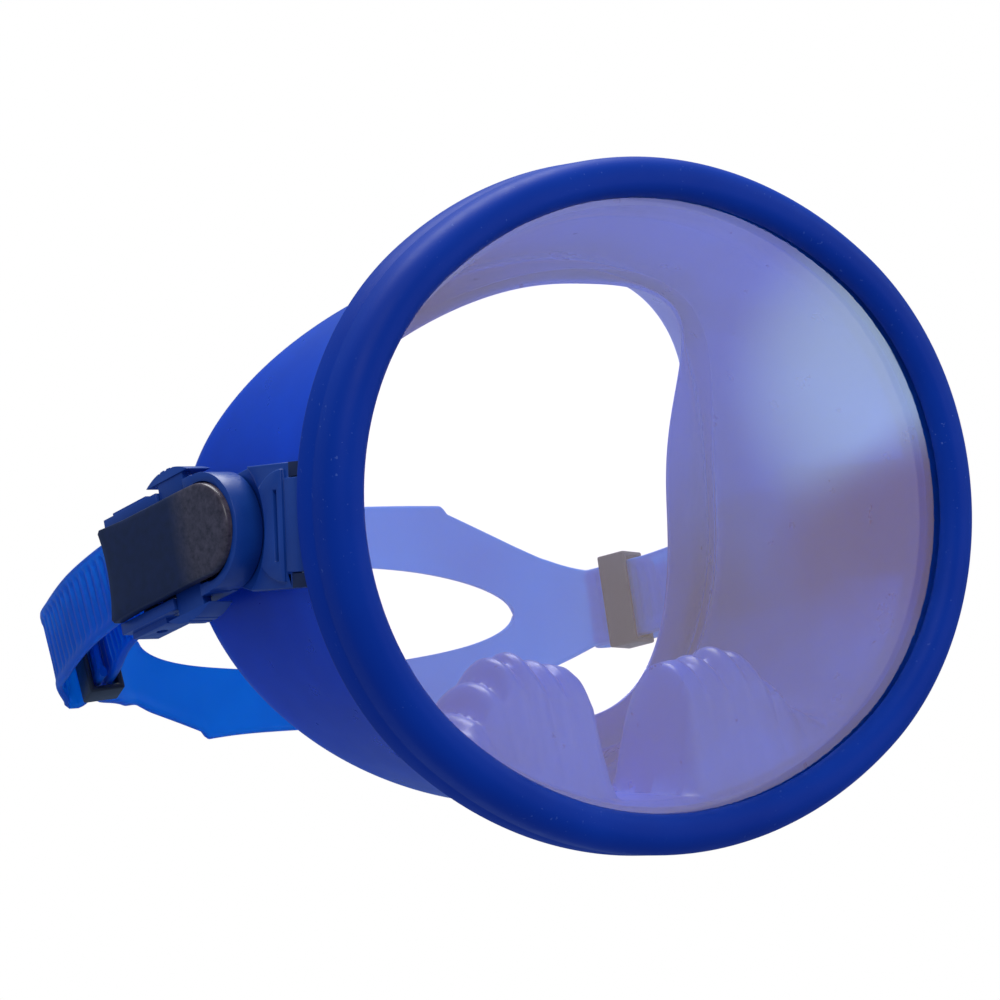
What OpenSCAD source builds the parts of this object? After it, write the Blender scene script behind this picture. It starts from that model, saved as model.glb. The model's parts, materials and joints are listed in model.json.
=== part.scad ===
// Oval diving mask with one lens, a silicone skirt, and a head strap in two squeeze-release buckles.
// Origin: centre of the lens's outer face. -Y looks out through the lens, +Y goes towards the head, +Z is up.

/* [Lens and rim] */
// Half width of the rim
rim_half_w = 82.6; // [81:0.2:84]
// Half height of the rim
rim_half_h = 70; // [69:0.2:71]
// Width of the rim seen from the front
rim_w = 8.3; // [7.6:0.1:9]
// How far the rim stands out in front of the lens
rim_proud = 3.7; // [3:0.1:5]
// Length of the rim's side behind the lens's outer face
rim_back = 10.3; // [10:0.1:12]
// Thickness of the lens
lens_t = 4; // [3:0.5:4]

/* [Skirt] */
// Half width of the skirt's rear edge
skirt_half_w = 70.5; // [68:0.5:70.5]
// Height of the rear edge above the lens's centre
skirt_up = 55; // [52:0.5:57]
// Height of the rear edge below the lens's centre
skirt_down = 59; // [56:0.5:60]
// Depth of the skirt at the forehead
depth_top = 34; // [30:0.5:40]
// Depth of the skirt at the temples
depth_side = 69; // [64:0.5:70]
// Depth of the skirt under the nose
depth_bottom = 53; // [48:0.5:56]
// Thickness of the skirt's wall
skirt_t = 2.4; // [2:0.1:3]
// Height of the finger wells beside the nose
well_h = 26; // [20:1:28]
// Half of the gap between the wells' nose sides, at their foot
well_in = 11.7; // [10:0.1:12]

/* [Buckles] */
// Distance of the buckle's pivot behind the lens
pivot_y = 40.8; // [40:0.2:42]
// Height of the buckle's pivot
pivot_z = -2.4; // [-3:0.1:-2]
// Slope of the left buckle, down towards the back
left_tilt = 13; // [12:1:15]
// Slope of the right buckle, down towards the back
right_tilt = 12; // [10:1:15]
// Half width of the buckle's body
body_half_w = 12; // [11.8:0.1:12.2]
// Length of the buckle behind its pivot
body_len = 33.5; // [32.5:0.5:34.5]
// Travel of a squeeze button
button_travel = 1.5; // [1:0.1:1.5]

/* [Strap] */
// Width of the strap's tails
tail_w = 17; // [15:0.5:17]
// Thickness of the strap
strap_t = 1.6; // [1.4:0.1:1.7]
// Half height of the split back panel
panel_half_h = 24; // [22:0.5:25]
// Half height of the gap between the panel's two bands
gap_half_h = 11; // [8:0.5:11]
// Half width of that gap
gap_half_w = 49.5; // [45:0.5:50]

/* [Hidden] */
$fn = 64;

// The oval is four tangent arcs, whose centres and joints lie on 3-4-5 triangles
arc_unit = (rim_half_w - rim_half_h) / 2;
side_c = 3 * arc_unit;
top_c = 4 * arc_unit;
side_arc_r = rim_half_w - side_c;
top_arc_r = rim_half_h + top_c;
join_a = atan2(top_c, side_c);

// Offsets inwards from the rim's outer edge
lens_inset = 5.3;
pocket_inset = 3.3;
wall_inset = 8.6;
frame_front = 6.5;
bead_front = lens_t + 0.05;
wall_start = rim_back + 0.2;

// Finger wells: where they fade out sideways, and their middle and length front to back
well_out = 24;
well_mid_y = 20.3;
well_len = 24.5;

// Buckle layers along X, from the skirt outwards
plate_x = 74.3;
plate_t = 2.3;
floor_x = 76.9;
floor_t = 1.5;
wall_x = 73.4;
cover_x = 83.3;
cover_t = 2.4;

// Buckle places along the strap from the pivot
round_r = 11.8;
cup_r = 10;
socket_r = 16;
side_wall_t = 2.3;
roller_p = 26.5;
roller_x = 78.3;
roller_r = 3;
roller_half = 9.2;
axle_r = 1.2;
pawl_p = 17.8;
pawl_x = 79.3;
fit_gap = 0.05;
rivet_r = 2.5;
button_p = 9.5;
button_len = 15;
stem_front = 5;
stem_rear = 4;
bracket_y = 16;
bracket_half_h = 12.2;
pin_y = 13.6;
pin_x = 77.2;
pin_r = 1.5;
keeper_half = 3.6;
edge_step = 1;
stem_x = 80.6;
stem_t = 2;
stem_in = 9;

// ---- Small helpers ----

function unit(v) = v / norm(v);
function mix(a, b, t) = a + (b - a) * t;
function clamp01(t) = min(1, max(0, t));
function smooth(t) = let (c = clamp01(t)) c * c * (3 - 2 * c);

// Point of the rim's oval, moved inwards by u, where the outward normal has angle a
function oval_pt(u, a) =
    abs(cos(a)) > cos(join_a)
        ? [sign(cos(a)) * side_c + (side_arc_r - u) * cos(a), (side_arc_r - u) * sin(a)]
        : [(top_arc_r - u) * cos(a), -sign(sin(a)) * top_c + (top_arc_r - u) * sin(a)];

// Quarter of the oval's sweep: half of a side arc, then half of the top arc
module quarter_ring(section) {
    translate([side_c, 0, 0])
        rotate_extrude(angle = join_a)
            polygon([for (q = section) [side_arc_r - q[0], -q[1]]]);
    translate([0, -top_c, 0])
        rotate_extrude(angle = 90 - join_a, start = join_a)
            polygon([for (q = section) [top_arc_r - q[0], -q[1]]]);
}

// Section of [inset, y] points swept round the oval
module oval_ring(section) {
    rotate([90, 0, 0])
        for (flip_x = [0, 1], flip_y = [0, 1])
            mirror([flip_x, 0, 0])
                mirror([0, flip_y, 0])
                    quarter_ring(section);
}

// Points of a round corner, from angle a0 to a1
function corner(c, r, a0, a1, steps = 5) =
    [for (i = [0:steps]) c + r * [cos(mix(a0, a1, i / steps)), sin(mix(a0, a1, i / steps))]];

// Faces of a closed tube of rings with n points each; the last ring joins the first when looped
function tube_faces(rings, n, looped) = concat(
    [for (i = [0:(looped ? rings - 1 : rings - 2)], j = [0:n - 1])
        let (k = (i + 1) % rings, m = (j + 1) % n)
        each [[i * n + j, k * n + j, k * n + m], [i * n + j, k * n + m, i * n + m]]],
    looped ? [] : [[for (j = [0:n - 1]) j], [for (j = [n - 1:-1:0]) (rings - 1) * n + j]]);

// Smooth curve through the points c, with n steps from each to the next
function curve_step(a, b, c, d, t) = 0.5 * (2 * b + (c - a) * t
    + (2 * a - 5 * b + 4 * c - d) * t * t + (3 * b - a - 3 * c + d) * t * t * t);
function curve(c, n) = let (last = len(c) - 1) concat(
    [for (i = [0:last - 1], k = [0:n - 1])
        curve_step(c[max(0, i - 1)], c[i], c[i + 1], c[min(last, i + 2)], k / n)],
    [c[last]]);

// Extrudes a flat (along strap, across strap) outline outwards from x by t
module slab(x, t) {
    translate([x, 0, 0])
        rotate([90, 0, 90])
            linear_extrude(t)
                children();
}

// Rod across the strap at place p, height x, from -half to half
module cross_rod(p, x, r, half) {
    translate([x, p, -half])
        cylinder(h = 2 * half, r = r);
}

// Places a side's own pieces at its pivot, sloped down towards the back
module at_pivot(side, tilt) {
    mirror([side < 0 ? 1 : 0, 0, 0])
        translate([0, pivot_y, pivot_z])
            rotate([-tilt, 0, 0])
                children();
}

// ---- Lens, rim and frame ----

module lens() {
    color("lavender", 0.35)
        translate([0, lens_t, 0])
            rotate([90, 0, 0])
                linear_extrude(lens_t)
                    polygon([for (a = [0:3:357]) oval_pt(lens_inset, a)]);
}

module rim() {
    outer_r = 4;
    inner_r = 2.6;
    rear_r = 1.4;
    section = concat(
        corner([outer_r, outer_r - rim_proud], outer_r, 180, 270),
        corner([rim_w - inner_r, inner_r - rim_proud], inner_r, 270, 360),
        [[rim_w, 0], [lens_inset - 0.1, 0], [lens_inset - 0.1, lens_t], [pocket_inset, lens_t],
            [pocket_inset, rim_back]],
        corner([rear_r, rim_back - rear_r], rear_r, 90, 180, 3));
    color("mediumblue")
        oval_ring(section);
}

module lens_frame() {
    lug_half = 1.4;
    lug_w = 4.8;
    lug_neck_w = 3;
    lug_shift = -2;
    lug_rear = 15.8;
    color("midnightblue")
        difference() {
            union() {
                oval_ring([[pocket_inset + 0.1, frame_front], [wall_inset - 0.2, frame_front],
                    [wall_inset - 0.2, rim_back - 0.1], [pocket_inset + 0.1, rim_back - 0.1]]);
                for (side = [-1, 1], end = [-1, 1])
                    translate([side * pin_x, 0, pivot_z + end * (bracket_half_h - lug_half)]) {
                        translate([side * lug_shift, (frame_front + lug_rear) / 2 + 0.4, 0])
                            cube([lug_neck_w, lug_rear - frame_front - 0.8, 2 * lug_half], center = true);
                        translate([0, (rim_back + 0.1 + lug_rear) / 2, 0])
                            cube([lug_w, lug_rear - rim_back - 0.1, 2 * lug_half], center = true);
                    }
            }
            for (side = [-1, 1])
                translate([side * pin_x, pin_y, pivot_z - bracket_half_h - 1])
                    cylinder(h = 2 * bracket_half_h + 2, r = pin_r);
        }
}

// ---- Skirt ----

// Rear edge of the skirt's wall, and the inner edge of its seal, at angle a round the mask
function rear_y(a) = let (c = abs(cos(a)))
    sin(a) > 0 ? mix(depth_top, depth_side, c * c) : mix(depth_bottom, depth_side, pow(c, 1.4));
function rear_xz(a) = [skirt_half_w * cos(a), (sin(a) > 0 ? skirt_up : skirt_down) * sin(a)];
function seal_y(a) = let (c = abs(cos(a)))
    sin(a) > 0 ? mix(depth_top - 11, depth_side - 10, pow(c, 2.6)) : mix(depth_bottom - 12, depth_side - 10, c);
function seal_xz(a) = [
    49 * sign(cos(a)) * pow(abs(cos(a)), 0.8),
    2 + 45 * sign(sin(a)) * pow(abs(sin(a)), 0.8)];

// How far a finger well lifts the skirt's floor at x, y; grow widens it for the inner face
function well_lift(x, y, a, grow) =
    let (ax = abs(x), half = well_len / 2 + grow, s = (y - well_mid_y) / half)
    sin(a) > -0.4 ? 0
        : well_h * smooth((ax - well_in + grow) / 3.5) * (1 - smooth((ax - well_out - grow) / 24))
            * sqrt(max(0, 1 - s * s));

// Wall point at fraction v of the way back, moved inwards by t
function wall_pt(a, v, t) =
    let (
        f = oval_pt(wall_inset + t, a),
        r = rear_xz(a) * (1 - t / skirt_half_w),
        w = pow(v, 0.85),
        y = mix(wall_start, rear_y(a) - 4, v),
        x = mix(f[0], r[0], w),
        z = mix(f[1], r[1], w)
    )
    [x, y, z + well_lift(x, y, a, t > 0 ? 2.2 : 0)];

// Closer together at the bottom, where the finger wells are
skirt_angles = concat([for (a = [0:5:245]) a], [for (a = [249:2:291]) a], [for (a = [295:5:355]) a]);

function ring_at(u, y) = [for (a = skirt_angles) let (q = oval_pt(u, a)) [q[0], y, q[1]]];
function bulge_ring(k, y_add) =
    [for (a = skirt_angles) let (r = rear_xz(a) * k) [r[0], rear_y(a) + y_add, r[1]]];
function seal_ring(k, y_add) =
    [for (a = skirt_angles) let (r = seal_xz(a) * k) [r[0], seal_y(a) + y_add, r[1]]];

module skirt() {
    steps = 8;
    rings = concat(
        [ring_at(pocket_inset + 0.1, bead_front), ring_at(pocket_inset + 0.1, frame_front - 0.05),
            ring_at(wall_inset, frame_front - 0.05)],
        [for (i = [0:steps]) [for (a = skirt_angles) wall_pt(a, i / steps, 0)]],
        [bulge_ring(0.975, -1), bulge_ring(0.93, 0),
            seal_ring(1.08, 1.5), seal_ring(1, 0.6), seal_ring(1, 0), seal_ring(1.08, 0.4),
            bulge_ring(0.925, -2.2)],
        [for (i = [steps:-1:0]) [for (a = skirt_angles) wall_pt(a, i / steps, skirt_t)]],
        [ring_at(wall_inset + skirt_t, frame_front), ring_at(wall_inset + 1, bead_front)]);
    color("royalblue", 0.8)
        polyhedron([for (ring = rings) each ring], tube_faces(len(rings), len(skirt_angles), true));
}

// ---- Strap ----

// Where each keeper sits on the strap, and the slope of the strap there
left_keeper_at = [67.6, 103.4, -23.4];
left_keeper_slope = 20;
right_keeper_at = [68.6, 101.5, -15.8];
right_keeper_slope = 10;
keeper_yaw = 17.5;
tail_gap = 2.5;
tail_lift = 4.4;

// Strap point s behind a keeper's centre and off outwards from the load layer: [x outwards, y, z, slope]
function by_keeper(c, slope, s, off) =
    let (back = s * cos(keeper_yaw) + off * sin(keeper_yaw))
    [c[0] - s * sin(keeper_yaw) + off * cos(keeper_yaw), c[1] + back * cos(slope), c[2] - back * sin(slope), slope];

// Load layer and tail of each side, laid by hand away from the keepers
left_load = concat([[73.7, 78, -12.2, 18], [72.6, 88, -16.4, 22]],
    [for (s = [-8, -2.7, 2.7, 8]) by_keeper(left_keeper_at, left_keeper_slope, s, 0)],
    [[58, 114.6, -24, 8], [49, 117.4, -21.4, 3]]);
left_tail = concat([[82.3, 78, -12, 18], [81.2, 90, -16.3, 22], [78, 102.5, -21, 22], [74.6, 110.5, -23.8, 20]],
    [for (s = [11, 7.5, 2.5, -2.5, -7])
        by_keeper(left_keeper_at, left_keeper_slope, s, s > 8 ? tail_lift : tail_gap)]);
right_load = concat([[73.7, 78, -11, 12], [72.8, 88, -13, 12]],
    [for (s = [-8, -2.7, 2.7, 8]) by_keeper(right_keeper_at, right_keeper_slope, s, 0)],
    [[59, 113.4, -18, 4], [49.5, 116.6, -18.2, 1]]);
right_tail = concat([[82.3, 78, -11, 12], [81.4, 90, -13.6, 12], [78.6, 102, -15.8, 11], [75.6, 110, -17.4, 10]],
    [for (s = [11, 7.5, 2.5, -2.5, -7])
        by_keeper(right_keeper_at, right_keeper_slope, s, s > 8 ? tail_lift : tail_gap)]);
panel_mid = [[25, 121, -17.6, 0], [0, 123, -17.8, 0], [-25, 121.4, -18.6, 1]];

// Wrap round the roller, from the tail's side to the load layer's side
function wrap(tilt) = [for (i = [0:8])
    let (
        a = 90 - 180 * i / 8,
        r = roller_r + 0.35 + strap_t / 2,
        p = roller_p - r * cos(a),
        x = roller_x + r * sin(a)
    )
    [x, pivot_y + p * cos(tilt), pivot_z - p * sin(tilt), tilt]];

function reverse(v) = [for (i = [len(v) - 1:-1:0]) v[i]];
function to_left(v) = [for (q = v) [-q[0], q[1], q[2], q[3]]];
strap_path = concat(
    curve(concat(reverse(right_tail), [wrap(right_tilt)[0]]), 3),
    [for (i = [1:7]) wrap(right_tilt)[i]],
    curve(concat([wrap(right_tilt)[8]], right_load, panel_mid, reverse(to_left(left_load)),
        to_left([wrap(left_tilt)[8]])), 4),
    [for (i = [7:-1:1]) to_left(wrap(left_tilt))[i]],
    curve(concat(to_left([wrap(left_tilt)[0]]), to_left(left_tail)), 3));

function strap_along(i) = let (last = len(strap_path) - 1, a = strap_path[max(0, i - 1)],
    b = strap_path[min(last, i + 1)]) unit([b[0] - a[0], b[1] - a[1], b[2] - a[2]]);
function outer_half(x) = mix(tail_w / 2, panel_half_h - edge_step, clamp01((66 - abs(x)) / 34))
    + edge_step * smooth((34 - abs(x)) / 3);
function gap_half(x) = gap_half_h * pow(max(0, 1 - x * x / (gap_half_w * gap_half_w)), 0.5);

// Ring of the strap's upper (up = 1) or lower (up = -1) half at path point i
function strap_ring(i, up) =
    let (
        c = strap_path[i],
        along = strap_along(i),
        across0 = [0, sin(c[3]), cos(c[3])],
        out = unit(cross(along, across0)),
        across = unit(cross(out, along)),
        at = [c[0], c[1], c[2]],
        w0 = up * gap_half(c[0]),
        w1 = up * outer_half(c[0]),
        h = strap_t / 2
    )
    [at + across * w0 + out * h, at + across * w1 + out * h,
        at + across * w1 - out * h, at + across * w0 - out * h];

// The halves are welded along the middle wherever the gap is closed there, so the strap is one skin
function gap_open(i) = gap_half(strap_path[i][0]) > 0;
function strap_vertex(i, half, j) = (half == 1 && !gap_open(i) && (j == 0 || j == 3))
    ? 8 * i + 3 - j
    : 8 * i + 4 * half + j;

module strap() {
    last = len(strap_path) - 1;
    points = [for (i = [0:last])
        each concat(reverse(strap_ring(i, -1)), strap_ring(i, 1))];
    sides = [for (half = [0, 1], i = [0:last - 1], j = [0:3])
        if (j < 3 || gap_open(i) || gap_open(i + 1))
            let (m = (j + 1) % 4, a = strap_vertex(i, half, j), b = strap_vertex(i + 1, half, j),
                c = strap_vertex(i + 1, half, m), d = strap_vertex(i, half, m))
            each [[a, b, c], [a, c, d]]];
    ends = [for (half = [0, 1])
        each [[for (j = [0:3]) strap_vertex(0, half, j)], [for (j = [3:-1:0]) strap_vertex(last, half, j)]]];
    color("dodgerblue", 0.8)
        polyhedron(points, concat(sides, ends));
}

// ---- Buckle pieces, in the side's own frame: Y along the strap, Z across it, X outwards ----

module bracket(side) {
    arm_t = 2.9;
    barrel_r = 2.9;
    back = bracket_y - pivot_y;
    color("darkblue")
        at_pivot(side, 0)
            difference() {
                union() {
                    slab(plate_x, plate_t)
                        polygon([[back, -bracket_half_h], [-7, -bracket_half_h], [4, -9.5],
                            [4, 9.5], [-7, bracket_half_h], [back, bracket_half_h]]);
                    slab(plate_x, plate_t)
                        circle(r = 9);
                    slab(plate_x, plate_t + arm_t)
                        difference() {
                            translate([back, -bracket_half_h])
                                square([20, 2 * bracket_half_h]);
                            circle(r = socket_r);
                        }
                    slab(plate_x + plate_t + arm_t - 0.01, 0.8)
                        difference() {
                            translate([back + 1.5, 0])
                                intersection() {
                                    circle(r = 11);
                                    translate([0, -11])
                                        square([12, 22]);
                                }
                            circle(r = socket_r + 1);
                        }
                    translate([pin_x, pin_y - pivot_y, -bracket_half_h + 3])
                        cylinder(h = 2 * bracket_half_h - 6, r = barrel_r);
                    translate([plate_x, pin_y - pivot_y, -bracket_half_h + 3])
                        cube([2 * barrel_r, bracket_y - pin_y + 1, 2 * bracket_half_h - 6]);
                }
                slab(plate_x + plate_t + arm_t - 0.6, 3)
                    translate([back + 3.4, -7])
                        square([1.3, 14]);
                translate([pin_x, pin_y - pivot_y, -bracket_half_h])
                    cylinder(h = 2 * bracket_half_h, r = pin_r + fit_gap);
                slab(plate_x - 1, plate_t + 2)
                    circle(r = rivet_r);
            }
}

module bracket_pin(side) {
    color("dimgray")
        at_pivot(side, 0)
            cross_rod(pin_y - pivot_y, pin_x, pin_r, bracket_half_h);
}

module swivel_rivet(side) {
    head_r = 4.5;
    color("silver")
        at_pivot(side, 0)
            union() {
                slab(plate_x, floor_x + floor_t + 0.1 - plate_x)
                    circle(r = rivet_r);
                slab(floor_x + floor_t + 0.1, 1.3)
                    circle(r = head_r);
            }
}

module buckle_body(side, tilt) {
    wall_mid = body_half_w - side_wall_t / 2;
    body_top = cover_x - 0.1;
    floor_end = 15;
    deep_start = 20;
    flange_start = 20;
    color("navy")
        at_pivot(side, tilt)
            difference() {
                union() {
                    slab(floor_x, floor_t)
                        union() {
                            circle(r = round_r);
                            translate([0, -body_half_w])
                                square([floor_end, 2 * body_half_w]);
                        }
                    slab(floor_x, body_top - floor_x)
                        difference() {
                            circle(r = round_r);
                            circle(r = cup_r);
                            translate([2, -20])
                                square([20, 40]);
                        }
                    for (up = [-1, 1]) {
                        slab(floor_x, body_top - floor_x)
                            translate([1, up * wall_mid - side_wall_t / 2])
                                square([body_len - 1, side_wall_t]);
                        slab(wall_x, floor_x - wall_x + 1)
                            translate([deep_start, up * wall_mid - side_wall_t / 2])
                                square([body_len - deep_start, side_wall_t]);
                        slab(75.4, 6)
                            translate([flange_start, up * (body_half_w + 0.4) - 0.8])
                                square([body_len - flange_start - 1, 1.6]);
                    }
                }
                slab(floor_x - 1, floor_t + 2)
                    circle(r = rivet_r + fit_gap);
                cross_rod(roller_p, roller_x, axle_r, body_half_w + 2);
                cross_rod(pawl_p, pawl_x, axle_r, body_half_w + 2);
                slab(stem_x - 0.2, 6)
                    translate([button_p - stem_front - 0.4, -20])
                        square([stem_front + stem_rear + 0.8, 40]);
            }
}

module buckle_cover(side, tilt) {
    half_w = 9.3;
    nose = 1.3;
    end_p = body_len;
    hollow_r = 32;
    color("black")
        at_pivot(side, tilt)
            union() {
                slab(cover_x, cover_t)
                    difference() {
                        union() {
                            translate([-nose, 0])
                                circle(r = half_w);
                            translate([-nose, -half_w])
                                square([end_p + nose, 2 * half_w]);
                        }
                        translate([end_p + hollow_r - 1.6, 0])
                            circle(r = hollow_r);
                    }
                slab(cover_x, cover_t + 0.5)
                    translate([-nose, 0])
                        circle(r = half_w - 1);
            }
}

// up = 1 is the upper button, -1 the lower one
module button(side, tilt, up) {
    pad_in = body_half_w + button_travel + 0.1;
    pad_r = 16;
    pad_out = pad_in + 2;
    color("mediumblue")
        at_pivot(side, tilt)
            mirror([0, 0, up < 0 ? 1 : 0])
                union() {
                    slab(77.4, 5.6)
                        difference() {
                            intersection() {
                                translate([button_p, pad_out - pad_r])
                                    circle(r = pad_r);
                                translate([button_p - button_len / 2, pad_in])
                                    square([button_len, 4]);
                            }
                            for (i = [-2:2])
                                translate([button_p + 2.2 * i, pad_out + 0.3])
                                    circle(r = 0.6);
                        }
                    slab(stem_x, stem_t)
                        translate([button_p - stem_front, stem_in])
                            square([stem_front + stem_rear, pad_in - stem_in + 0.3]);
                }
}

// Coil between the two buttons, across the strap
module button_spring(side, tilt) {
    coil_r = 1.3;
    wire_r = 0.25;
    turns = 9;
    sides = 5;
    per_turn = 10;
    steps = turns * per_turn;
    half = stem_in - wire_r - 0.05;
    rings = [for (i = [0:steps])
        let (a = 360 * i / per_turn, c = [stem_x + 0.9, button_p - 2.5, mix(-half, half, i / steps)],
            out = [cos(a), sin(a), 0])
        [for (j = [0:sides - 1]) let (b = 360 * j / sides)
            c + coil_r * out + wire_r * (cos(b) * out + sin(b) * [0, 0, 1])]];
    color("silver")
        at_pivot(side, tilt)
            polyhedron([for (ring = rings) each ring], tube_faces(len(rings), sides, false));
}

// Toothed lever: its tooth bears on the strap where that wraps round the roller
module pawl(side, tilt) {
    hub_r = 2.1;
    half = 8.8;
    tooth_p = 21.5;
    tooth_x = 80.3;
    arm_x = 79.3;
    arm_t = 1.1;
    arm_w = 1.4;
    arm_start = 12.4;
    color("darkslateblue")
        at_pivot(side, tilt)
            difference() {
                union() {
                    cross_rod(pawl_p, pawl_x, hub_r, half);
                    translate([0, 0, -half])
                        linear_extrude(2 * half)
                            polygon([[pawl_x, pawl_p - 1.8], [pawl_x - 1, pawl_p + 1.4], [tooth_x - 0.7, tooth_p - 0.7],
                                [tooth_x, tooth_p], [tooth_x + 0.6, tooth_p - 0.8], [pawl_x + 1.6, pawl_p + 1]]);
                    for (up = [-1, 1])
                        translate([arm_x, arm_start, up > 0 ? half - arm_w : -half])
                            cube([arm_t, pawl_p - arm_start, arm_w]);
                }
                cross_rod(pawl_p, pawl_x, axle_r + fit_gap, 12);
            }
}

module pawl_pin(side, tilt) {
    color("silver")
        at_pivot(side, tilt)
            cross_rod(pawl_p, pawl_x, axle_r, body_half_w);
}

module roller(side, tilt) {
    groove_r = 0.5;
    color("gray")
        at_pivot(side, tilt)
            difference() {
                cross_rod(roller_p, roller_x, roller_r, roller_half);
                cross_rod(roller_p, roller_x, axle_r + fit_gap, roller_half + 1);
                for (i = [0:11])
                    translate([roller_x, roller_p, 0])
                        rotate([0, 0, 30 * i])
                            cross_rod(roller_r + 0.1, 0, groove_r, roller_half - 0.8);
            }
}

module roller_axle(side, tilt) {
    color("silver")
        at_pivot(side, tilt)
            cross_rod(roller_p, roller_x, axle_r, body_half_w);
}

// Loop that holds the tail against the load layer at point c
module keeper(c, slope, side) {
    slot_in = 1.3;
    slot_out = tail_gap + 1.3;
    loop_t = 1.2;
    slot_half = tail_w / 2 + 0.6;
    color("black")
        mirror([side < 0 ? 1 : 0, 0, 0])
            translate(c)
                rotate([-slope, 0, 0])
                    rotate([0, 0, keeper_yaw])
                        translate([0, -keeper_half, 0])
                            rotate([-90, 0, 0])
                                linear_extrude(2 * keeper_half)
                                    difference() {
                                        translate([-slot_in - loop_t, -slot_half - loop_t])
                                            square([slot_in + slot_out + 2 * loop_t, 2 * (slot_half + loop_t)]);
                                        translate([-slot_in, -slot_half])
                                            square([slot_in + slot_out, 2 * slot_half]);
                                    }
}

module left_keeper() {
    keeper(left_keeper_at, left_keeper_slope, -1);
}

module right_keeper() {
    keeper(right_keeper_at, right_keeper_slope, 1);
}

lens();
rim();
lens_frame();
skirt();
strap();
bracket(-1);  // left_bracket
bracket_pin(-1);  // left_bracket_pin
swivel_rivet(-1);  // left_swivel_rivet
buckle_body(-1, left_tilt);  // left_buckle_body
buckle_cover(-1, left_tilt);  // left_buckle_cover
button(-1, left_tilt, 1);  // left_upper_button
button(-1, left_tilt, -1);  // left_lower_button
button_spring(-1, left_tilt);  // left_button_spring
pawl(-1, left_tilt);  // left_pawl
pawl_pin(-1, left_tilt);  // left_pawl_pin
roller(-1, left_tilt);  // left_roller
roller_axle(-1, left_tilt);  // left_roller_axle
left_keeper();
bracket(1);  // right_bracket
bracket_pin(1);  // right_bracket_pin
swivel_rivet(1);  // right_swivel_rivet
buckle_body(1, right_tilt);  // right_buckle_body
buckle_cover(1, right_tilt);  // right_buckle_cover
button(1, right_tilt, 1);  // right_upper_button
button(1, right_tilt, -1);  // right_lower_button
button_spring(1, right_tilt);  // right_button_spring
pawl(1, right_tilt);  // right_pawl
pawl_pin(1, right_tilt);  // right_pawl_pin
roller(1, right_tilt);  // right_roller
roller_axle(1, right_tilt);  // right_roller_axle
right_keeper();
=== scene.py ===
import json
import math

import bmesh
import bpy
import numpy as np
from mathutils import Matrix, Vector

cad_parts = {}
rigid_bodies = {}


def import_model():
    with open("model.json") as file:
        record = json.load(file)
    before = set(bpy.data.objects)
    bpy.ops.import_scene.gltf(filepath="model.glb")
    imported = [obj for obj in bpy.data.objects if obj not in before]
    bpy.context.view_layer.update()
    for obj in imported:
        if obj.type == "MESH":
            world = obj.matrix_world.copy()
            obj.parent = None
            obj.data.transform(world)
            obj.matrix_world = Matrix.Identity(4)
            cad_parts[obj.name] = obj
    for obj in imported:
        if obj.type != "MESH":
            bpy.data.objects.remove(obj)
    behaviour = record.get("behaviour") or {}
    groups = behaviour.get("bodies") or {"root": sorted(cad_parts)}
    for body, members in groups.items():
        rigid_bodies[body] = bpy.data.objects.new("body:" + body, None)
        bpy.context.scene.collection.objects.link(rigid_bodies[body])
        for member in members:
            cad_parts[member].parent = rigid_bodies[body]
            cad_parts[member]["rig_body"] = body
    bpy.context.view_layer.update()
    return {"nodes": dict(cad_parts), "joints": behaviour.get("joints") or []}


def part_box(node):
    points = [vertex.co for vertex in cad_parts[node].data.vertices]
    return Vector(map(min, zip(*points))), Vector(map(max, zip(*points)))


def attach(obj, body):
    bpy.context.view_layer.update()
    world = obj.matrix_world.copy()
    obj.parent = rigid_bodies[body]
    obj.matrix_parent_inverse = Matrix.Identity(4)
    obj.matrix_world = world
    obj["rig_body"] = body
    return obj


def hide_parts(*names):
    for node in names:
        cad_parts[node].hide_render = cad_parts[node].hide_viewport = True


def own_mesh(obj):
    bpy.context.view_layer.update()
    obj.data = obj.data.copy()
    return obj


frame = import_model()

MM = 0.001
SIDES = {"left": -1, "right": 1}
JOINTS = {joint["name"]: joint for joint in frame["joints"]}


def mix(a, b, t):
    return a + (b - a) * t


def smooth(t):
    t = np.clip(t, 0, 1)
    return t * t * (3 - 2 * t)


def node_span(node, axis):
    """Lowest and highest value of a CAD node on one axis, in mm."""
    low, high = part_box(node)
    return low[axis] / MM, high[axis] / MM


def joint_point(name):
    """A joint's position in mm."""
    return [c / MM for c in JOINTS[name]["pos_m"]]


# ---- Meshes ----


def mesh_piece(name, verts, faces, material, body, nodes=(), smooth_angle=40):
    """Makes an object from points in mm and faces, ties it to its body and hides the CAD nodes that it
    stands for.
    """
    mesh = bpy.data.meshes.new(name)
    mesh.from_pydata([tuple(float(c) * MM for c in v) for v in verts], [], [list(f) for f in faces])
    work = bmesh.new()
    work.from_mesh(mesh)
    bmesh.ops.remove_doubles(work, verts=work.verts, dist=1e-6)
    bmesh.ops.recalc_face_normals(work, faces=work.faces)
    work.to_mesh(mesh)
    work.free()
    piece = bpy.data.objects.new(name, mesh)
    bpy.context.scene.collection.objects.link(piece)
    return finish_piece(piece, material, body, nodes, smooth_angle)


def finish_piece(piece, material, body, nodes, smooth_angle):
    """Gives a piece its material and smooth shading, ties it to its body and hides the CAD nodes that
    it stands for.
    """
    piece.data.materials.clear()
    piece.data.materials.append(material)
    piece.data.shade_smooth()
    piece.data.set_sharp_from_angle(angle=math.radians(smooth_angle))
    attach(piece, body)
    if nodes:
        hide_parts(*nodes)
    return piece


def loft(rings, looped):
    """Vertices and quads of closed rings, the last joined to the first when looped."""
    count = len(rings[0])
    verts = [point for ring in rings for point in ring]
    faces = []
    for i in range(len(rings) if looped else len(rings) - 1):
        k = (i + 1) % len(rings)
        for j in range(count):
            m = (j + 1) % count
            faces.append((i * count + j, k * count + j, k * count + m, i * count + m))
    return verts, faces


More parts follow.
